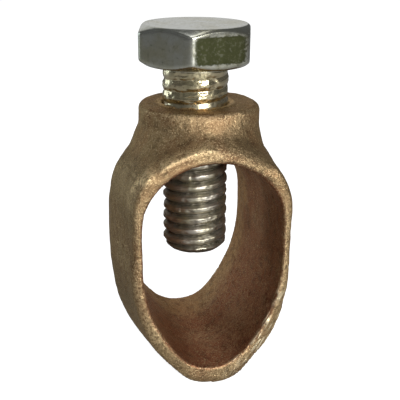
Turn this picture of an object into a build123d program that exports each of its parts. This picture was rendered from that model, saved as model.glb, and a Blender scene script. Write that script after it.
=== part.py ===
"""Earth rod clamp: a cast copper-alloy loop with a threaded boss, and the hexagon-head
screw that squeezes an earth rod and a conductor into the loop's pointed end.

Frame, in millimetres: +Z runs up the screw's axis, +Y along the clamped rod, +X across the
loop. The origin is the lowest point inside the loop, on the screw's axis at mid-depth.
"""

import os
from math import cos, radians, sqrt

from build123d import *

# --- opening of the loop ------------------------------------------------------------------
loop_depth = 24.6  # along the clamped rod
opening_width = 20.8
opening_height = 32.0
seat_radius = 6.2  # at the pointed end, where the conductor lies
flank_radius = 21.0  # between the seat and the straight side
crown_flattening = 1.1  # how much wider the arch at the top is struck than the straight sides
crown_corner_radius = 9.0  # between that arch and the straight side

# --- outside of the loop, as cast at its parting plane (mid-depth) -------------------------
side_wall = 3.0
seat_wall = 4.2
crown_wall = 4.2
outer_corner_radius = 10.5
outer_seat_radius = 7.7
outer_flank_radius = 26.0
draft_angle = 7.0  # each half narrows from the parting plane to its face, degrees
outer_rim_round = 1.0
inner_rim_round = 0.4

# --- boss --------------------------------------------------------------------------------
boss_radius = 9.2
boss_top_rise = 6.5  # metal from the top of the opening to the top of the boss
boss_edge_round = 0.9
boss_straight = 3.2  # height of the boss's round side above its flare
flare_height = 4.8
flare_width = 20.6
flare_setback = 1.2  # from the flare's foot to the loop's face
flare_corner_radius = 6.0
boss_foot_round = 2.5  # where the round side turns into the flare
seam_round = 1.8  # where the flare runs into the loop
lip_height = 0.3  # lip that the screw has thrown up round the tapped hole
lip_width = 0.9

# --- screw: M10, hexagon 16 across flats -------------------------------------------------
thread_diameter = 9.9
thread_clearance = 0.05  # radial, screw to tapped hole
screw_length = 28.8  # under the head
point_chamfer_height = 1.0
point_chamfer_width = 0.85
head_across_flats = 16.0
head_height = 5.8
head_chamfer_circle = 7.6  # radius left flat on top of and under the head
head_chamfer_slope = 0.62  # rise for each unit outwards
head_turn = 12.6  # how far the screw happens to be turned, degrees
fillet_under_head = 0.35
head_gap = 5.8  # from the boss to the head, as set

boss_top = opening_height + boss_top_rise
flare_top = boss_top - boss_straight
flare_foot = flare_top - flare_height
head_seat = boss_top + head_gap
head_top = head_seat + head_height
screw_point = head_seat - screw_length
hole_radius = thread_diameter / 2 + thread_clearance


def half_outline(width, bottom, top, tip_radius, flank, corner):
    """The x >= 0 half of an upright acorn-shaped outline, drawn from its bottom to its top.

    Tangent to one another are the arc at the pointed end, the flank, the straight side,
    the corner, and the flatter arch at the top.
    """
    half = width / 2
    arch = half + crown_flattening
    flank_x, corner_x = half - flank, half - corner
    flank_z = bottom + tip_radius + sqrt((flank - tip_radius) ** 2 - flank_x**2)
    arch_z = top - arch
    corner_z = arch_z + sqrt((arch - corner) ** 2 - corner_x**2)
    across, down, upward = Vector(1, 0), Vector(0, -1), Vector(0, 1)
    to_tip = Vector(-flank_x, bottom + tip_radius - flank_z).normalized()
    to_corner = Vector(corner_x, corner_z - arch_z).normalized()

    def on(centre_x, centre_z, radius, *directions):
        """The point of an arc half-way between the given directions."""
        direction = sum(directions, Vector(0, 0)).normalized()
        return Vector(centre_x, centre_z) + direction * radius

    tip = (0, bottom + tip_radius, tip_radius)
    side = (flank_x, flank_z, flank)
    bend = (corner_x, corner_z, corner)
    roof = (0, arch_z, arch)
    with BuildLine() as line:
        ThreePointArc(on(*tip, down), on(*tip, down, to_tip), on(*tip, to_tip))
        ThreePointArc(on(*side, to_tip), on(*side, to_tip, across), on(*side, across))
        Line(on(*side, across), on(*bend, across))
        ThreePointArc(on(*bend, across), on(*bend, across, to_corner), on(*bend, to_corner))
        ThreePointArc(on(*roof, to_corner), on(*roof, to_corner, upward), on(*roof, upward))
    return line.line


def at_height(body, height):
    """The edges that lie level at a height."""
    return body.edges().filter_by_position(Axis.Z, height - 0.01, height + 0.01)


def at_face(body, side):
    """The edges that lie in the loop's front (-1) or back (+1) face."""
    y_face = side * loop_depth / 2
    return body.edges().filter_by_position(Axis.Y, y_face - 0.01, y_face + 0.01)


def seam_edges(body):
    """Where the boss's flare runs into the loop: edges off its faces that turn by over 6 deg."""
    seams = []
    for edge in body.edges():
        at = edge @ 0.5
        if abs(at.Y) > loop_depth / 2 - outer_rim_round or not flare_foot < at.Z < flare_top - 0.2:
            continue
        sides = [f.normal_at(at) for f in body.faces() if any(e.is_same(edge) for e in f.edges())]
        if len(sides) == 2 and sides[0].get_angle(sides[1]) > 6:
            seams.append(edge)
    return seams


# --- clamp body --------------------------------------------------------------------------
with BuildPart() as clamp_body:
    with BuildSketch(Plane.XZ) as outside:
        with BuildLine():
            add(
                half_outline(
                    opening_width + 2 * side_wall,
                    -seat_wall,
                    opening_height + crown_wall,
                    outer_seat_radius,
                    outer_flank_radius,
                    outer_corner_radius,
                )
            )
            mirror(about=Plane.YZ)
        make_face()
    for side in (1, -1):
        extrude(outside.sketch, amount=side * loop_depth / 2, taper=draft_angle)
    for side in (1, -1):
        fillet(at_face(clamp_body, side), outer_rim_round)

    # the boss, on a flare that spreads to nearly the width and depth of the loop
    with BuildSketch(Plane.XY.offset(flare_foot)) as foot_section:
        RectangleRounded(flare_width, loop_depth - 2 * flare_setback, flare_corner_radius)
    with BuildSketch(Plane.XY.offset(flare_top)) as boss_section:
        Circle(boss_radius)
    with BuildPart(mode=Mode.PRIVATE) as boss:
        loft([foot_section.sketch, boss_section.sketch])
        extrude(boss_section.sketch, amount=boss_top - flare_top)
        fillet(at_height(boss, flare_top), boss_foot_round)
        fillet(at_height(boss, boss_top), boss_edge_round)
    add(boss.part)
    fillet(seam_edges(clamp_body), seam_round)

    # the opening, and its rounded rims
    with BuildSketch(Plane.XZ) as opening:
        with BuildLine():
            add(
                half_outline(
                    opening_width, 0, opening_height, seat_radius, flank_radius, crown_corner_radius
                )
            )
            mirror(about=Plane.YZ)
        make_face()
    outer_edges = [at_face(clamp_body, side) for side in (1, -1)]
    extrude(opening.sketch, amount=loop_depth, both=True, mode=Mode.SUBTRACT)
    for side, outer in zip((1, -1), outer_edges):
        known = [edge @ 0.5 for edge in outer]
        rim = [
            edge
            for edge in at_face(clamp_body, side)
            if all((edge @ 0.5 - middle).length > 0.01 for middle in known)
        ]
        fillet(rim, inner_rim_round)

    # the tapped hole, with the lip round its mouth
    with Locations((0, 0, boss_top)):
        Cylinder(hole_radius + lip_width, 2 * lip_height)
        Cylinder(hole_radius, 3 * boss_top_rise, mode=Mode.SUBTRACT)
    lip_edges = clamp_body.edges().filter_by(GeomType.CIRCLE).sort_by(Axis.Z)[-2:]
    chamfer(lip_edges, lip_height * 0.6)
clamp_body.part.label = "clamp_body"
export_step(clamp_body.part, "parts/clamp_body.step")

# --- hexagon-head screw ------------------------------------------------------------------
corner_radius = head_across_flats / 2 / cos(radians(30))
cone_radius = corner_radius + 0.2  # the chamfers are cut a little past the corners
cone_height = (cone_radius - head_chamfer_circle) * head_chamfer_slope

with BuildPart() as hex_bolt:
    with BuildSketch(Plane.XY.offset(head_seat)) as hexagon:
        RegularPolygon(corner_radius, 6, rotation=head_turn)
    extrude(hexagon.sketch, amount=head_height)
    # both ends of the head are turned off to a cone, which leaves the flats their arcs
    with BuildSketch(Plane.XZ) as head_profile:
        with BuildLine():
            Polyline(
                (0, head_seat),
                (head_chamfer_circle, head_seat),
                (cone_radius, head_seat + cone_height),
                (cone_radius, head_top - cone_height),
                (head_chamfer_circle, head_top),
                (0, head_top),
                close=True,
            )
        make_face()
    revolve(head_profile.sketch, axis=Axis.Z, mode=Mode.INTERSECT)

    with Locations((0, 0, screw_point)):
        Cylinder(thread_diameter / 2, screw_length, align=(Align.CENTER, Align.CENTER, Align.MIN))
    chamfer(at_height(hex_bolt, screw_point), point_chamfer_height, point_chamfer_width)
    circles = at_height(hex_bolt, head_seat).filter_by(GeomType.CIRCLE)
    fillet(circles.sort_by(SortBy.RADIUS)[:1], fillet_under_head)
hex_bolt.part.label = "hex_bolt"
export_step(hex_bolt.part, "parts/hex_bolt.step")
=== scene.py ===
"""An earth rod clamp: a rough cast bronze loop and the plated hexagon screw through its boss.

The part's frame: +Z up the screw's axis, +Y along the clamped rod. Lengths are written in
millimetres, and MM turns them into metres where Blender takes them.
"""

import bpy
import numpy as np
from mathutils import Matrix, Vector


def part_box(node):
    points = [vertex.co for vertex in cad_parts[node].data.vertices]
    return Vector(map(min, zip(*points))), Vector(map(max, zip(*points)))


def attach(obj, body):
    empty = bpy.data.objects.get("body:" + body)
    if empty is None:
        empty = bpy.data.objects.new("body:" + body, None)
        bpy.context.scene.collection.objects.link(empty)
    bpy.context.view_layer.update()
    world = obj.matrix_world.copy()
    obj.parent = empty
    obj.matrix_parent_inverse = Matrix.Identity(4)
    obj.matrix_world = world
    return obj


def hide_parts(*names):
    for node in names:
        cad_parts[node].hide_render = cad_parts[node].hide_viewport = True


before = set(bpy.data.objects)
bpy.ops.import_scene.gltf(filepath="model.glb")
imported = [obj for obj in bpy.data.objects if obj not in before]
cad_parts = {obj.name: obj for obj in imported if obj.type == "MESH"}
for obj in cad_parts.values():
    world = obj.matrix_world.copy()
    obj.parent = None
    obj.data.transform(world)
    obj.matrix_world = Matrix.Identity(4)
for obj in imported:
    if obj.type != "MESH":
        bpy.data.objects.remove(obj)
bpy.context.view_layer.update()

MM = 0.001
screw_low, screw_high = (np.array(corner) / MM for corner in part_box("hex_bolt"))
loop_high = np.array(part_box("clamp_body")[1]) / MM

# --- measures of the screw --------------------------------------------------------------
AROUND, SHANK_RINGS, HEAD_RINGS = 192, 300, 72  # columns and rings of the screw's grid
SCREW_TIP = screw_low[2]
HEAD_TOP = screw_high[2]
HEAD_HEIGHT = 5.8
HEAD_SEAT = HEAD_TOP - HEAD_HEIGHT
ACROSS_FLATS = 16.0
WORN_CORNER = 9.05  # radius to which the hexagon's corners are worn
HEAD_TURN = np.radians(12.6)
TARNISHED_FLAT = HEAD_TURN - np.radians(90)  # middle of the flat whose plating has gone olive
CHAMFER_CIRCLE = 7.65
CHAMFER_SLOPE = 0.62  # rise for each unit outwards

CREST_RADIUS = 4.93
THREAD_PITCH = 1.72
THREAD_DEPTH = 0.62
ROOT_SHARE = 0.08  # share of the half pitch that is the root's flat
FLANK_SHARE = 0.62  # share of it that is the flank; the crest has the rest
FLANK_BULGE = 0.85  # power of the flank's rise; at 1 the flank is straight
SHALLOWER = 0.72  # share of its depth that the thread loses towards the head
TIP_RADIUS = 4.0  # where the chamfer leaves the end of the thread
TIP_CHAMFER = 0.9
NECK_RADIUS = 4.95
NECK_HEIGHT = 0.3

# --- measures of the casting ------------------------------------------------------------
WELD_GAP = 0.002  # corners of the solid's skin nearer than this are one
VOXEL = 0.3  # edge of the cubes it is rebuilt on
LEDGE_ROUNDS = 160
BOSS_TOP = loop_high[2]
BOSS_RADIUS = 8.9
BOSS_DRIFT = 0.6  # the boss was cast this far off its drilled hole, towards +X
BORE_RADIUS = 5.4  # a little wider than the drilled hole, to take in its wall
BORE_FOOT = 31.0  # all of the hole lies above this height
FACE = loop_high[1]  # distance of the loop's two faces from its middle
SKIN_SHRINK = 0.06  # how far the whole skin lies inside the solid's
CREST_RISE = 0.35
FILED_DEPTH = 0.16
STROKE_STRETCH = 0.86  # share taken from lengths along the rim, which draws the strokes out
LIP_WAVE = 0.18  # half of what the lip loses at most
ARCH_MIDDLE, ARCH_RADIUS = 20.5, 11.5  # the top of the opening
OPENING_MIDDLE = np.array([0.0, 0.0, 17.0])
LEFT_TOE, RIGHT_TOE, CHEEK = 0.95, 1.35, 0.3  # how much fuller the casting is there
SHOULDER_FROM = 9.4  # the back shoulders are drawn in towards this radius
SHOULDER_SHARE = 0.42  # by this share of what stands past it
RIM_SLANT = np.radians(-60)  # turn about Y that lays X along the lower right rim


def rgb(red, green, blue):
    """A screen colour, 0 to 255 a channel, as the linear RGBA that shaders take."""
    screen = np.array([red, green, blue]) / 255
    linear = np.where(screen <= 0.04045, screen / 12.92, ((screen + 0.055) / 1.055) ** 2.4)
    return (*linear.tolist(), 1.0)


# --- colours ----------------------------------------------------------------------------
GOLDEN_BRONZE = rgb(150, 126, 92)
RUDDY_BRONZE = rgb(144, 115, 82)
# A grey-brown for painted shade down the left side.
LEFT_SHADE_BRONZE = rgb(112, 104, 86)
RED_INSIDE = rgb(156, 102, 74)
SANDY_INSIDE = rgb(190, 150, 104)
# Darker colours for blotchy stains, and for painted shade.
GOLDEN_STAIN_AND_SHADE = rgb(92, 75, 52)
RUDDY_STAIN_AND_SHADE = rgb(96, 71, 50)
INSIDE_STAIN_AND_SHADE = rgb(98, 62, 44)
# The colour of worn spots, also used for painted highlights.
WORN_AND_HIGHLIGHT_BRONZE = rgb(216, 190, 146)
FILED_BRONZE = rgb(250, 232, 194)
BRONZE_SHINE = rgb(238, 214, 186)

ZINC = rgb(194, 195, 186)
YELLOWED_ZINC = rgb(206, 192, 158)
THREAD_ZINC = rgb(178, 172, 160)
TARNISHED_ZINC = rgb(170, 164, 128)
OLIVE_ZINC = rgb(68, 70, 46)
GRIME = rgb(66, 61, 48)


# --- shapes -----------------------------------------------------------------------------
def smooth_step(low, high, value):
    """0 below low, 1 above high, and an S-shaped curve between them."""
    t = np.clip((value - low) / (high - low), 0, 1)
    return t * t * (3 - 2 * t)


def band(value, start, full, fading, end):
    """0 below start and above end, 1 from full to fading, with S-shaped curves between."""
    return smooth_step(start, full, value) * (1 - smooth_step(fading, end, value))


def clouds(points, cell, seed):
    """Smooth noise from -1 to 1 at each point.

    Each corner of a cubic lattice of the given cell holds a fixed number hashed from its
    place and the seed; a point takes the average of its cube's eight corners, weighted by
    an S-shaped curve of how near it is to each. The large numbers only scatter the bits.
    """
    scaled = points / cell
    base = np.floor(scaled).astype(np.int64)
    part = scaled - base
    part = part * part * (3 - 2 * part)
    total = np.zeros(len(points))
    for corner in np.ndindex(2, 2, 2):
        node = base + corner
        mixed = (node * [374761393, 668265263, 2147483647]).sum(axis=1) + seed * 1274126177
        mixed = (mixed ^ (mixed >> 13)) * 1103515245 % 2147483648
        mixed = (mixed ^ (mixed >> 11)) % 65536
        weight = np.where(corner, part, 1 - part).prod(axis=1)
        total += weight * (mixed / 32767.5 - 1)
    return total


def soft_least(*radii, power=70.0):
    """The smallest of some radii, with the corners between them rounded; more at a low power.

    Each radius is raised to the negative power, and their sum back by the inverse power.
    """
    return sum(radius**-power for radius in radii) ** (-1 / power)


def close_ends(points):
    """A grid's points in one row, with the middles of its first and last rings after them."""
    return np.concatenate([points.reshape(-1, 3), points[[0, -1]].mean(axis=1)])


def grid_mesh(name, points):
    """A closed skin from rings of points, shaped (rings, around, 3), lowest ring first.

    Neighbouring rings are joined by quads, and the first and last rings are closed to
    one point each.
    """
    rings, around = points.shape[:2]
    index = np.arange(rings * around).reshape(rings, around)
    after = np.roll(index, -1, axis=1)
    sides = np.stack([index[:-1], after[:-1], after[1:], index[1:]], axis=-1).reshape(-1, 4)
    low_pole, high_pole = rings * around, rings * around + 1
    low = np.stack([after[0], index[0], np.full(around, low_pole)], axis=-1)
    high = np.stack([index[-1], after[-1], np.full(around, high_pole)], axis=-1)
    faces = sides.tolist() + low.tolist() + high.tolist()
    mesh = bpy.data.meshes.new(name)
    mesh.from_pydata((close_ends(points) * MM).tolist(), [], faces)
    mesh.polygons.foreach_set("use_smooth", np.ones(len(mesh.polygons), dtype=bool))
    mesh.update()
    return mesh


def paint(mesh, masks):
    """Stores named masks, one number for each vertex, for the materials to read."""
    for name, values in masks.items():
        layer = mesh.attributes.new(name, "FLOAT", "POINT")
        layer.data.foreach_set("value", values.astype(np.float32))


def show(name, data):
    """Puts a mesh, light or camera in the scene as an object of that name at the origin."""
    piece = bpy.data.objects.new(name, data)
    bpy.context.scene.collection.objects.link(piece)
    return piece


# --- the screw --------------------------------------------------------------------------
def level_rings(radii, height):
    """Circles of the given radii, all at one height."""
    circles = np.repeat(np.array(radii)[:, None], AROUND, axis=1)
    return circles, np.full_like(circles, height)


def thread_radius(angle, height):
    """Radius of the threaded shank.

    A right-handed helix: the phase is the height in pitches less the share of a turn. The
    ridge is a triangle wave of that phase, cut off flat at the root and the crest, with
    flanks that bulge. Near the head the ridge is lower, where it was rolled out thin.
    """
    phase = (height - SCREW_TIP) / THREAD_PITCH - angle / (2 * np.pi)
    wave = 1 - np.abs(2 * (phase % 1) - 1)
    ridge = np.clip((wave - ROOT_SHARE) / FLANK_SHARE, 0, 1) ** FLANK_BULGE
    near_head = smooth_step(HEAD_SEAT - 8, HEAD_SEAT - 5, height)
    return CREST_RADIUS - THREAD_DEPTH * (1 - SHALLOWER * near_head) * (1 - ridge)


def shank_rings(angle):
    """The shank: the least of the thread and the tip's cone, smoothed into the plain neck."""
    end = HEAD_SEAT - NECK_HEIGHT
    height = np.linspace(SCREW_TIP, end, SHANK_RINGS)[:, None] + 0 * angle
    cone = TIP_RADIUS + (height - SCREW_TIP) * (CREST_RADIUS - TIP_RADIUS) / TIP_CHAMFER
    radius = soft_least(thread_radius(angle, height), cone)
    return radius + (NECK_RADIUS - radius) * smooth_step(end - 0.8, end, height), height


def head_rings(angle):
    """The head's side: the least of the hexagon's radius, two cones and the worn corners.

    The hexagon's radius is half the width across flats over the cosine of the turn from
    the flat's middle. The cones leave the arcs on the flats.
    """
    height = np.linspace(HEAD_SEAT, HEAD_TOP, HEAD_RINGS)[:, None] + 0 * angle
    from_flat = (angle - HEAD_TURN) % (np.pi / 3) - np.pi / 6
    hexagon = ACROSS_FLATS / 2 / np.cos(from_flat) + 0 * height
    lower = CHAMFER_CIRCLE + (height - HEAD_SEAT) / CHAMFER_SLOPE
    upper = CHAMFER_CIRCLE + (HEAD_TOP - height) / CHAMFER_SLOPE
    side = soft_least(hexagon, lower, upper, power=45.0)
    return soft_least(side, np.full_like(side, WORN_CORNER), power=120.0), height


def dented(points):
    """The screw's points moved to or from its axis by noise.

    Below the head, blobs of two sizes, level bands and rare deep nicks; on the head, faint
    upright streaks. Nothing stands out by more than 0.04.
    """
    bruises = 0.10 * clouds(points, 0.9, 3) + 0.05 * clouds(points, 0.35, 4)
    bruises += 0.09 * clouds(points * [0.3, 0.3, 1], 0.45, 6)
    bruises -= 0.12 * smooth_step(0.35, 0.8, clouds(points, 1.5, 5))
    streaks = 0.012 * clouds(points * [1, 1, 0.1], 0.7, 7)
    dents = np.where(points[:, 2] < HEAD_SEAT - 0.7, bruises, streaks)
    from_axis = np.maximum(np.hypot(points[:, 0], points[:, 1]), 0.001)
    outwards = points * [1, 1, 0] / from_axis[:, None]
    return points + outwards * np.minimum(dents, 0.04)[:, None]


def screw_masks(points):
    """Masks for the plating, from each point's height, turn and distance from the axis.

    root is the bottom of the thread, shank all below the head, thread what stands below
    the boss's top, and tarnish the middle of one flat of the head.
    """
    x, y, z = points.T
    deep = 1 - smooth_step(CREST_RADIUS - THREAD_DEPTH, CREST_RADIUS - 0.15, np.hypot(x, y))
    on_shank = (z > SCREW_TIP + 0.05) & (z < HEAD_SEAT - 0.5)
    above_boss = smooth_step(BOSS_TOP - 1, BOSS_TOP + 1, z)
    from_middle = np.abs((np.arctan2(y, x) - TARNISHED_FLAT + np.pi) % (2 * np.pi) - np.pi)
    across = 1 - smooth_step(np.radians(20), np.radians(31), from_middle)
    up = band(z, HEAD_SEAT + 0.5, HEAD_SEAT + 1.5, HEAD_TOP - 1.5, HEAD_TOP - 0.6)
    return {
        "root": deep * on_shank * (1 - 0.25 * above_boss),
        "shank": 1 - smooth_step(HEAD_SEAT - 1, HEAD_SEAT, z),
        "thread": 1 - smooth_step(BOSS_TOP - 2, BOSS_TOP + 1, z),
        "tarnish": across * up,
    }


def make_screw():
    """The screw as one grid of rings, from the middle of its tip to the middle of its head."""
    angle = np.linspace(0, 2 * np.pi, AROUND, endpoint=False)[None, :]
    under_head = NECK_RADIUS + np.array([0.25, 0.5, 0.75]) * (CHAMFER_CIRCLE - NECK_RADIUS)
    rings = [
        level_rings(TIP_RADIUS * np.array([0.12, 0.4, 0.7, 0.9]), SCREW_TIP),
        shank_rings(angle),
        level_rings(under_head, HEAD_SEAT),
        head_rings(angle),
        level_rings(CHAMFER_CIRCLE * np.array([0.94, 0.8, 0.55, 0.3, 0.1]), HEAD_TOP),
    ]
    radius, height = (np.concatenate(halves) for halves in zip(*rings))
    points = np.stack([radius * np.cos(angle), radius * np.sin(angle), height], axis=-1)
    points = dented(points.reshape(-1, 3)).reshape(points.shape)

    mesh = grid_mesh("hex_screw", points)
    paint(mesh, screw_masks(close_ends(points)))
    mesh.set_sharp_from_angle(angle=np.radians(50))
    return show("hex_screw", mesh)


# --- the casting ------------------------------------------------------------------------
def remeshed_copy(node, name):
    """A solid's own skin as an even mesh: joined up, rebuilt on small cubes and smoothed."""
    piece = show(name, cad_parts[node].data.copy())
    weld = piece.modifiers.new("weld", "WELD")
    weld.merge_threshold = WELD_GAP * MM
    remesh = piece.modifiers.new("remesh", "REMESH")
    remesh.mode = "VOXEL"
    remesh.voxel_size = VOXEL * MM
    even = piece.modifiers.new("even", "SMOOTH")
    even.factor = 0.5
    even.iterations = 4
    evaluated = piece.evaluated_get(bpy.context.evaluated_depsgraph_get())
    mesh = bpy.data.meshes.new_from_object(evaluated)
    mesh.name = name
    piece.modifiers.clear()
    piece.data = mesh
    return piece


def vertices_of(mesh):
    """Each vertex's place in millimetres, and its normal."""
    places, normals = np.empty(len(mesh.vertices) * 3), np.empty(len(mesh.vertices) * 3)
    mesh.vertices.foreach_get("co", places)
    mesh.vertex_normals.foreach_get("vector", normals)
    return places.reshape(-1, 3) / MM, normals.reshape(-1, 3)


def relax(points, mesh, weight, rounds):
    """Moves each point, by its weight, towards the mean of its neighbours, many times."""
    ends = np.empty(len(mesh.edges) * 2, dtype=np.int64)
    mesh.edges.foreach_get("vertices", ends)
    ends = ends.reshape(-1, 2)
    here, there = np.concatenate([ends, ends[:, ::-1]]).T
    count = np.bincount(here, minlength=len(points))
    for _ in range(rounds):
        mean = [np.bincount(here, points[there, axis], len(points)) / count for axis in range(3)]
        points = points + 0.5 * weight[:, None] * (np.stack(mean, axis=1) - points)
    return points


def blend_ledge(points, mesh, from_arch):
    """Melts the ledge between the arch's rim and the boss into one slope, by relaxing it."""
    x, y, z = points.T
    over_arch = band(from_arch, 0.8, 2.0, 5.5, 7) * smooth_step(24, 28, z)
    near_face = smooth_step(7, 9.5, np.abs(y))
    below_boss = 1 - smooth_step(7, 9.5, np.abs(x))
    return relax(points, mesh, over_arch * near_face * below_boss, LEDGE_ROUNDS)


def fit_to_pattern(points):
    """Where the casting leaves the plain solid: a fuller toe, and back shoulders drawn in.

    Seen along the rod, a point's depth in the wall runs from 0 at the opening to 1 at the
    outline, both taken as the nearest and farthest points in its share of a turn. Points of
    the toe and the left cheek move outwards by that depth. Behind the screw, a point higher
    than the opening's middle comes closer to the boss's axis, by a share of its distance
    past the boss.
    """
    x, y, z = points.T
    spoke = points * [1, 0, 1] - OPENING_MIDDLE
    reach = np.linalg.norm(spoke, axis=1)
    sectors = 180
    turn = np.arctan2(spoke[:, 2], spoke[:, 0]) / (2 * np.pi) + 0.5
    sector = (turn * sectors).astype(int) % sectors
    near, far = np.full(sectors, np.inf), np.zeros(sectors)
    np.minimum.at(near, sector, reach)
    np.maximum.at(far, sector, reach)
    depth = smooth_step(0, 1, (reach - near[sector]) / (far - near)[sector])

    low = 1 - smooth_step(4, 14, z)
    from_point = 0.55 + 0.45 * smooth_step(0.5, 5, np.abs(x))
    toe = np.where(x < 0, LEFT_TOE, RIGHT_TOE) * low * from_point
    cheek = CHEEK * band(z, 5, 13, 13, 24) * smooth_step(0, 6, -x)
    points = points + spoke * ((toe + cheek) * depth / reach)[:, None]

    x, y, z = points.T
    from_axis = np.hypot(x, y)
    past_boss = np.maximum(from_axis - SHOULDER_FROM, 0) / np.maximum(from_axis, 0.001)
    drawn_in = SHOULDER_SHARE * smooth_step(21, 30, z) * smooth_step(0, 5, y)
    scale = 1 - drawn_in * past_boss
    return points * np.stack([scale, scale, np.ones(len(scale))], axis=1)


def casting_marks(points, from_arch):
    """Masks of what marks both the casting's shape and its metal.

    rim is the worn edge of both faces, filed the strokes on the lower right rim, lip the
    burr round the drilled hole, and crest the worn, raised line left of the arch, whose
    brightness is partly a painted highlight.
    """
    x, y, z = points.T
    rim = smooth_step(0, 0.7, np.abs(y) - (FACE - 0.9))
    lower_right = smooth_step(1, 6, x) * (1 - smooth_step(8, 15, z))
    scattered = smooth_step(-0.6, 0.1, clouds(points, 1.2, 16))
    # The crest is a worn, raised line whose brightness is partly a painted highlight.
    line = band(from_arch, 1.6, 2.3, 2.4, 3.1)
    front = smooth_step(8, 10, -y)
    upper_left = smooth_step(20, 25, z) * (1 - smooth_step(-2.5, 1, x))
    broken = smooth_step(-0.8, 0.2, clouds(points, 1.6, 17))
    round_hole = 1 - smooth_step(5.6, 6.1, np.hypot(x, y))
    return {
        "rim": rim,
        "filed": lower_right * rim * scattered,
        "crest": line * front * upper_left * broken,
        "lip": round_hole * (z > BOSS_TOP - 0.5),
    }


def roughened(points, normals, marks):
    """The casting's points moved by its sand skin, its marks and the drift of its boss.

    Along the normals go noise of three sizes less shallow pits, the raised crest and the
    file's strokes, which are noise drawn out along the rim. The drilled hole stays plain,
    and the lip only loses height, so that the screw clears both.
    """
    x, y, z = points.T
    from_axis = np.hypot(x, y)
    swell = 0.16 * clouds(points, 6, 11)
    ripple = 0.05 * clouds(points, 1.6, 12)
    grain = 0.025 * clouds(points, 0.6, 13)
    pits = 0.10 * smooth_step(0.55, 0.9, clouds(points, 0.9, 14))
    in_bore = (from_axis < BORE_RADIUS) & (z > BORE_FOOT)
    sand = np.where(in_bore, 0, swell + ripple + grain - pits - SKIN_SHRINK)

    along_rim = np.array([np.cos(RIM_SLANT), 0, -np.sin(RIM_SLANT)])
    drawn_out = points - STROKE_STRETCH * (points @ along_rim)[:, None] * along_rim
    strokes = smooth_step(0, 0.5, clouds(drawn_out, 0.45, 19))
    shift = sand + CREST_RISE * marks["crest"] - FILED_DEPTH * marks["filed"] * strokes

    moved = points + normals * shift[:, None]
    moved[:, 2] += LIP_WAVE * marks["lip"] * (clouds(points, 0.9, 15) - 1)
    moved[:, 0] += BOSS_DRIFT * smooth_step(5.8, 8.4, from_axis) * smooth_step(31, 36, z)
    return moved


def casting_stains_and_shade(points, normals, marks, from_arch):
    """Masks of what colours the metal alone.

    inside is what faces the opening's middle, which gets a little painted shade; back the
    lighter band deep in it; rim the worn edges of the faces and the boss; the left side's mask
    a painted shade that greys and darkens that side; top the boss's face, darkened as painted
    shade, and round the screw as a painted shadow of the head with some dirt; and brow a
    painted shade over the ledge above the arch.
    """
    x, y, z = points.T
    from_axis = np.hypot(x, y)
    # The inside's mask also brings a little painted shade into the recess.
    inwards = OPENING_MIDDLE - points * [1, 0, 1]
    inwards /= np.maximum(np.linalg.norm(inwards, axis=1), 1e-6)[:, None]
    facing = (normals * inwards).sum(axis=1)

    below_boss = z < 33
    face_rim = marks["rim"] * (1 - 0.9 * smooth_step(22, 28, z) * below_boss)
    from_edge = np.abs(from_axis - BOSS_RADIUS) + 0.7 * np.abs(z - BOSS_TOP + 0.7)
    boss_edge = 1 - smooth_step(0.2, 0.9, from_edge)

    # Painted shade that greys and darkens the left side, more lower down, but not on the rim.
    left = smooth_step(8.5, 11.5, -x + 1.2 * clouds(points, 3, 20))
    low = 1 - smooth_step(8, 18, z)
    # Painted shade on the boss's upward face, and round the screw a painted shadow of its head
    # with some dirt.
    boss_face = smooth_step(0.6, 0.95, normals[:, 2]) * (z > BOSS_TOP - 1.2)
    round_hole = 1 - smooth_step(6.6, 7.6, from_axis)
    # Painted shade over the ledge above the arch.
    over_arch = smooth_step(26, 29, z) * (1 - smooth_step(2.5, 4.5, from_arch))
    front = smooth_step(7.5, 9.5, -y)
    return {
        "inside": smooth_step(0.1, 0.75, facing) * below_boss,
        "back": smooth_step(4.5, 8.5, y + 1.8 * clouds(points, 2.2, 18)),
        "rim": np.maximum(face_rim, 0.8 * boss_edge),
        "left_shade": left * (0.55 + 0.45 * low) * (1 - marks["rim"]),
        "top": boss_face * (0.7 + 0.6 * round_hole),
        "brow": band(x, -3, 0, 5, 9) * front * over_arch,
    }


def make_casting():
    """The cast loop: the solid's skin, its ledge blended, fitted to its pattern, roughened.

    A vertex's distance from the arch is taken before the first of these moves it. The rim
    that is painted is the one among the colour and shade masks, which takes the place of the
    marks' own.
    """
    piece = remeshed_copy("clamp_body", "cast_loop")
    mesh = piece.data
    points, normals = vertices_of(mesh)
    from_arch = np.hypot(points[:, 0], points[:, 2] - ARCH_MIDDLE) - ARCH_RADIUS
    points = fit_to_pattern(blend_ledge(points, mesh, from_arch))
    marks = casting_marks(points, from_arch)
    moved = roughened(points, normals, marks)
    mesh.vertices.foreach_set("co", (moved * MM).ravel())
    mesh.polygons.foreach_set("use_smooth", np.ones(len(mesh.polygons), dtype=bool))
    paint(mesh, marks | casting_stains_and_shade(points, normals, marks, from_arch))
    mesh.update()
    return piece


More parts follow.
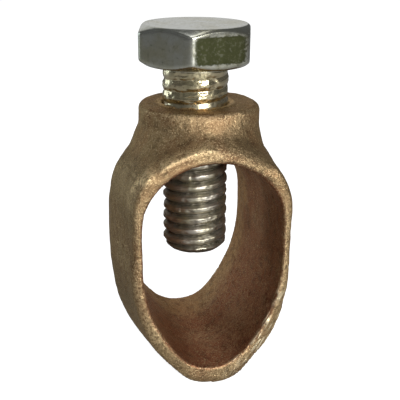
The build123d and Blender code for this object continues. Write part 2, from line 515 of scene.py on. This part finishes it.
# --- shaders ----------------------------------------------------------------------------
class Nodes:
    """A short way of writing a node tree: make a node, set its inputs, link what is a socket."""

    def __init__(self, tree):
        self.tree = tree

    def link(self, value, socket):
        self.tree.links.new(value, socket)

    def add(self, kind, inputs=(), **settings):
        """A node of that kind, with its settings; inputs are given by name or number."""
        node = self.tree.nodes.new("ShaderNode" + kind)
        for key, value in settings.items():
            setattr(node, key, value)
        for key, value in dict(inputs).items():
            if isinstance(value, bpy.types.NodeSocket):
                self.link(value, node.inputs[key])
            else:
                node.inputs[key].default_value = value
        return node

    def math(self, operation, first, second):
        return self.add("Math", {0: first, 1: second}, operation=operation).outputs[0]

    def plus(self, first, second):
        return self.math("ADD", first, second)

    def minus(self, first, second):
        return self.math("SUBTRACT", first, second)

    def times(self, first, second):
        return self.math("MULTIPLY", first, second)

    def capped(self, value):
        """The value, but never more than 1."""
        return self.math("MINIMUM", value, 1.0)

    def noise(self, where, size, detail, rough=0.55):
        """Noise from 0 to 1 whose blotches are about size millimetres across."""
        inputs = {"Vector": where, "Scale": 1 / (size * MM), "Detail": detail, "Roughness": rough}
        return self.add("TexNoise", inputs).outputs["Fac"]

    def moved(self, where, kind="POINT", **inputs):
        """Coordinates after a Mapping node's Location, Rotation or Scale."""
        return self.add("Mapping", {"Vector": where, **inputs}, vector_type=kind).outputs["Vector"]

    def ramp(self, value, low, high):
        """0 where value is at low, 1 at high, an S-shaped curve between; low may be larger."""
        inputs = {"Value": value, "From Min": low, "From Max": high}
        return self.add("MapRange", inputs, interpolation_type="SMOOTHSTEP").outputs["Result"]

    def mix(self, amount, first, second):
        """The first colour where amount is 0, the second where it is 1."""
        inputs = {"Factor": amount, 6: first, 7: second}
        return self.add("Mix", inputs, data_type="RGBA").outputs[2]

    def object_place(self):
        return self.add("TexCoord").outputs["Object"]

    def attribute(self, name):
        return self.add("Attribute", attribute_name=name).outputs["Fac"]


def new_group(name, colours, amounts):
    """An empty node group that puts out colour, roughness and bump height.

    It takes the named colours and amounts. Also returned are its node helper, the sockets
    that bring in what it is given, and those that take its results.
    """
    group = bpy.data.node_groups.new(name, "ShaderNodeTree")
    for label in colours:
        group.interface.new_socket(label, in_out="INPUT", socket_type="NodeSocketColor")
    for label in amounts:
        group.interface.new_socket(label, in_out="INPUT", socket_type="NodeSocketFloat")
    for label, kind in (("Color", "Color"), ("Roughness", "Float"), ("Height", "Float")):
        group.interface.new_socket(label, in_out="OUTPUT", socket_type="NodeSocket" + kind)
    given = group.nodes.new("NodeGroupInput").outputs
    result = group.nodes.new("NodeGroupOutput").inputs
    return group, Nodes(group), given, result


def cast_skin():
    """Group: a dull sand-cast surface with worn high spots.

    Dark lies over Body in blotches and hollows of the grain, thicker by the painted shade,
    with some dirt, that Soot brings. Bright shows on grains where Wear and a broad noise are
    high, on slanting strokes and in glints, which are painted highlights. Filed lays Fresh
    strokes along the rim. Wear and filing make it smoother.
    """
    group, n, given, result = new_group(
        "cast_skin", colours=("Bright", "Body", "Dark", "Fresh"), amounts=("WearAndHighlight", "ShadeAndSoot", "Filed")
    )
    place = n.object_place()
    broad = n.noise(place, 7, 3.0, 0.6)
    blotch = n.noise(place, 1.4, 4.0, 0.65)
    grain = n.noise(place, 0.42, 4.0, 0.75)
    glint = n.noise(place, 0.20, 2.0, 0.5)
    slanting = n.moved(place, Rotation=(0.5, 0.3, 0.6), Scale=(1.0, 9.0, 9.0))
    stroke = n.noise(slanting, 2.2, 3.0, 0.6)

    worn = n.plus(given["WearAndHighlight"], n.times(n.ramp(broad, 0.4, 0.7), 0.3))
    worn = n.times(worn, n.ramp(grain, 0.38, 0.62))
    worn = n.capped(n.plus(worn, n.times(n.ramp(stroke, 0.6, 0.72), 0.18)))
    stain_and_shade = n.plus(n.ramp(blotch, 0.45, 0.72), given["ShadeAndSoot"])
    stain_and_shade = n.capped(n.plus(stain_and_shade, n.times(n.ramp(grain, 0.5, 0.4), 0.45)))
    # Glints are painted highlights: tiny spots of the bright colour, more where worn.
    sparkle = n.times(n.ramp(glint, 0.57, 0.64), n.plus(given["WearAndHighlight"], 0.6))
    along_rim = n.moved(place, "TEXTURE", Rotation=(0, RIM_SLANT, 0), Scale=(7, 1, 1))
    filed = n.times(given["Filed"], n.ramp(n.noise(along_rim, 0.4, 2.0, 0.5), 0.46, 0.54))

    colour = n.mix(n.times(stain_and_shade, 0.75), given["Body"], given["Dark"])
    colour = n.mix(worn, colour, given["Bright"])
    colour = n.mix(n.capped(sparkle), colour, given["Bright"])
    n.link(n.mix(filed, colour, given["Fresh"]), result["Color"])

    rough = n.minus(n.minus(0.44, n.times(worn, 0.15)), n.times(filed, 0.14))
    rough = n.plus(rough, n.times(n.minus(grain, 0.5), 0.3))
    n.link(rough, result["Roughness"])
    height = n.plus(n.plus(grain, n.times(blotch, 0.8)), n.times(glint, 0.25))
    height = n.minus(height, n.times(n.ramp(stroke, 0.62, 0.75), 0.15))
    n.link(n.plus(height, filed), result["Height"])
    return group


def plated_skin():
    """Group: dull plating with tarnish, dirt and upright scratches.

    Tarnish comes in broad clouds and Grime in specks, both by Amount, and Root makes it
    darker in the Grime colour. Olive covers what Patch marks, with a ragged edge and bare
    specks. Root, Patch and Matte make it rougher.
    """
    group, n, given, result = new_group(
        "plated_skin",
        colours=("Plate", "Tarnish", "Grime", "Olive"),
        amounts=("Amount", "Root", "Patch", "Matte"),
    )
    place = n.object_place()
    broad = n.noise(place, 4, 3.0, 0.6)
    fine = n.noise(place, 0.5, 4.0, 0.7)
    scratch = n.noise(n.moved(place, Scale=(1.0, 1.0, 0.2)), 0.7, 3.0, 0.6)

    tint = n.times(n.ramp(broad, 0.35, 0.7), given["Amount"])
    dirt = n.times(n.ramp(fine, 0.56, 0.8), given["Amount"])
    # Root darkens the thread's roots in the Grime colour.
    dirt = n.capped(n.plus(dirt, n.times(given["Root"], 0.75)))
    uneven = n.times(n.minus(fine, 0.5), 1.4)
    bare = n.times(n.ramp(fine, 0.5, 0.7), 0.16)
    covered = n.ramp(n.plus(given["Patch"], uneven), 0.1, 0.6)
    covered = n.times(covered, n.minus(1.0, bare))

    colour = n.mix(tint, given["Plate"], given["Tarnish"])
    colour = n.mix(dirt, colour, given["Grime"])
    n.link(n.mix(covered, colour, given["Olive"]), result["Color"])

    rough = n.plus(0.16, n.times(fine, 0.16))
    for label, share in (("Root", 0.15), ("Patch", 0.2), ("Matte", 0.20)):
        rough = n.plus(rough, n.times(given[label], share))
    n.link(rough, result["Roughness"])
    n.link(n.plus(n.times(scratch, 0.5), n.times(fine, 0.5)), result["Height"])
    return group


def new_material(name):
    """A material with only a Principled shader, its node helper and that shader."""
    material = bpy.data.materials.new(name)
    material.use_nodes = True
    return material, Nodes(material.node_tree), material.node_tree.nodes["Principled BSDF"]


def put_on(n, shader, skin, bump, distance):
    """Links a skin group's colour, roughness and bump to the Principled shader."""
    n.link(skin.outputs["Color"], shader.inputs["Base Color"])
    n.link(skin.outputs["Roughness"], shader.inputs["Roughness"])
    height = {"Height": skin.outputs["Height"], "Strength": bump, "Distance": distance * MM}
    n.link(n.add("Bump", height).outputs["Normal"], shader.inputs["Normal"])


def bronze_material():
    """Cast bronze: gold-brown, redder inside, bright where worn, with painted shade and
    highlights.
    """
    material, n, shader = new_material("cast_bronze")
    inside, lip = n.attribute("inside"), n.attribute("lip")
    place = n.object_place()
    patchy = n.ramp(n.noise(place, 5, 2.0), 0.42, 0.68)
    beside = n.moved(place, Location=(3 * MM, 0, 2 * MM))
    ruddy = n.ramp(n.noise(beside, 6, 3.0, 0.6), 0.46, 0.6)

    outer = n.mix(ruddy, GOLDEN_BRONZE, RUDDY_BRONZE)
    # Painted shade greys and darkens the left side.
    outer = n.mix(n.times(n.attribute("left_shade"), 0.8), outer, LEFT_SHADE_BRONZE)
    inner = n.mix(n.times(n.attribute("back"), 0.75), RED_INSIDE, SANDY_INSIDE)
    # The darker colour, for stains and for painted shade.
    stain_and_shade = n.mix(ruddy, GOLDEN_STAIN_AND_SHADE, RUDDY_STAIN_AND_SHADE)
    wear_and_highlight = n.times(n.attribute("rim"), n.plus(0.12, n.times(patchy, 0.45)))
    wear_and_highlight = n.plus(wear_and_highlight, n.times(lip, 0.9))
    # The crest's strong wear here is partly a painted highlight.
    wear_and_highlight = n.plus(wear_and_highlight, n.times(n.attribute("crest"), 1.4))
    # Painted shade: a little inside the loop, more on the boss's top, with dirt round the screw,
    # and over the arch's brow; none on the lip.
    shade_and_soot = n.plus(n.times(inside, 0.2), n.times(n.attribute("top"), 0.7))
    shade_and_soot = n.plus(n.minus(shade_and_soot, lip), n.times(n.attribute("brow"), 0.7))

    skin = n.add("Group", node_tree=cast_skin())
    n.link(n.mix(inside, outer, inner), skin.inputs["Body"])
    n.link(n.mix(inside, stain_and_shade, INSIDE_STAIN_AND_SHADE), skin.inputs["Dark"])
    n.link(wear_and_highlight, skin.inputs["WearAndHighlight"])
    n.link(shade_and_soot, skin.inputs["ShadeAndSoot"])
    n.link(n.attribute("filed"), skin.inputs["Filed"])
    skin.inputs["Bright"].default_value = WORN_AND_HIGHLIGHT_BRONZE
    skin.inputs["Fresh"].default_value = FILED_BRONZE
    shader.inputs["Metallic"].default_value = 0.8
    shader.inputs["Specular IOR Level"].default_value = 0.35
    shader.inputs["Specular Tint"].default_value = BRONZE_SHINE
    put_on(n, shader, skin, bump=0.85, distance=0.16)
    return material


def steel_material():
    """Zinc-plated steel, yellowed, and darker in the thread's roots."""
    material, n, shader = new_material("plated_steel")
    above_boss = n.mix(n.attribute("shank"), ZINC, YELLOWED_ZINC)
    plate = n.mix(n.attribute("thread"), above_boss, THREAD_ZINC)

    skin = n.add("Group", node_tree=plated_skin())
    n.link(plate, skin.inputs["Plate"])
    n.link(n.attribute("root"), skin.inputs["Root"])
    n.link(n.attribute("tarnish"), skin.inputs["Patch"])
    n.link(n.attribute("thread"), skin.inputs["Matte"])
    skin.inputs["Tarnish"].default_value = TARNISHED_ZINC
    skin.inputs["Grime"].default_value = GRIME
    skin.inputs["Olive"].default_value = OLIVE_ZINC
    skin.inputs["Amount"].default_value = 0.6
    shader.inputs["Metallic"].default_value = 1.0
    put_on(n, shader, skin, bump=0.4, distance=0.08)
    return material


# --- the pieces -------------------------------------------------------------------------
screw = make_screw()
screw.data.materials.append(steel_material())
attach(screw, "screw")
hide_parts("hex_bolt")

casting = make_casting()
casting.data.materials.clear()
casting.data.materials.append(bronze_material())
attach(casting, "body")
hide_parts("clamp_body")

# --- floor, light and camera ------------------------------------------------------------
BACKDROP_IN_METAL = 0.03  # how bright the backdrop is in the metal's reflections
FLOOR_WHITE, FLOOR_ROOM = 0.95, 0.0  # how bright the floor is to the eye, and to all rays
SKY_WHITE, SKY_ROOM = 0.98, 0.09  # the same for the backdrop above it
FLOOR_HALF = 2000
FLOOR_GAP = 0.05  # between the floor and the lowest point of the casting
FLOOR_COLOUR, SKY_COLOUR = (0.5, 0.5, 0.5, 1), (0.93, 0.95, 0.96, 1)
PLAIN_LIGHT, COOL_LIGHT = (1, 1, 1), (0.80, 0.93, 1.0)
LAMPS = (  # name, place, width, watts, colour
    ("key", (100, -420, 170), 140, 2.2, PLAIN_LIGHT),
    ("fill", (-300, -250, 250), 300, 0.03, PLAIN_LIGHT),
    ("side", (-360, 320, 100), 200, 0.36, COOL_LIGHT),
    ("above", (0, -40, 420), 200, 0.22, PLAIN_LIGHT),
    ("back", (20, 360, 200), 300, 0.165, PLAIN_LIGHT),
)
LAMP_TARGET = Vector((0, 0, 25)) * MM
CAMERA_PLACE = Vector((-28.265, -115.591, 64.46)) * MM
YAW, PITCH, ROLL = np.radians([14.13, 19.307, 0.425])
SENSOR_WIDTH, FOCAL_LENGTH = 36.0, 72.34
CLIP = 0.01, 20  # nearest and farthest that the camera sees, in metres


def backdrop(n, white, room):
    """Brightness of the white backdrop: white to the eye and through glass, dim in metal."""
    path = n.add("LightPath").outputs
    eye = n.times(n.plus(path["Is Camera Ray"], path["Is Transmission Ray"]), white)
    metal = n.times(path["Is Glossy Ray"], BACKDROP_IN_METAL)
    return n.plus(n.plus(eye, metal), room)


def make_floor(height):
    """A wide square floor at that height, grey under the lamps and lit white for the eye."""
    corners = np.array([[-1, -1, 0], [1, -1, 0], [1, 1, 0], [-1, 1, 0]]) * FLOOR_HALF
    mesh = bpy.data.meshes.new("floor")
    mesh.from_pydata(((corners + [0, 0, height]) * MM).tolist(), [], [(0, 1, 2, 3)])
    material, n, shader = new_material("floor")
    shader.inputs["Base Color"].default_value = FLOOR_COLOUR
    strength = backdrop(n, FLOOR_WHITE, FLOOR_ROOM)
    glow = n.add("Emission", {"Color": (1, 1, 1, 1), "Strength": strength})
    both = n.add("AddShader", {0: shader.outputs[0], 1: glow.outputs[0]})
    n.link(both.outputs[0], n.tree.nodes["Material Output"].inputs["Surface"])
    mesh.materials.append(material)
    return show("floor", mesh)


def lamp(name, place, width, watts, colour):
    """A square area light that faces the middle of the clamp."""
    light = bpy.data.lights.new(name, "AREA")
    light.size, light.energy, light.color = width * MM, watts, colour
    piece = show(name, light)
    piece.location = Vector(place) * MM
    piece.rotation_euler = (LAMP_TARGET - piece.location).to_track_quat("-Z", "Y").to_euler()


def make_sky():
    """The world around the clamp: the white backdrop and a little light from all sides."""
    world = bpy.data.worlds.new("studio")
    world.use_nodes = True
    n = Nodes(world.node_tree)
    background = world.node_tree.nodes["Background"]
    background.inputs["Color"].default_value = SKY_COLOUR
    n.link(backdrop(n, SKY_WHITE, SKY_ROOM), background.inputs["Strength"])
    return world


def make_camera():
    """The camera: it looks along YAW and down by PITCH, and is rolled about that line."""
    ahead = (np.sin(YAW) * np.cos(PITCH), np.cos(YAW) * np.cos(PITCH), -np.sin(PITCH))
    forward, level = Vector(ahead), Vector((np.cos(YAW), -np.sin(YAW), 0))
    upright = level.cross(forward)
    right = level * float(np.cos(ROLL)) + upright * float(np.sin(ROLL))
    up = upright * float(np.cos(ROLL)) - level * float(np.sin(ROLL))
    lens = bpy.data.cameras.new("camera")
    lens.sensor_width, lens.lens = SENSOR_WIDTH, FOCAL_LENGTH
    lens.clip_start, lens.clip_end = CLIP
    camera = show("camera", lens)
    turned = Matrix((right, up, -forward)).transposed().to_4x4()
    camera.matrix_world = Matrix.Translation(CAMERA_PLACE) @ turned
    return camera


lowest = min(corner[2] for corner in casting.bound_box) / MM
floor = make_floor(lowest - FLOOR_GAP)
for settings in LAMPS:
    lamp(*settings)
bpy.context.scene.world = make_sky()
bpy.context.scene.camera = make_camera()
bpy.context.scene.view_settings.view_transform = "Standard"
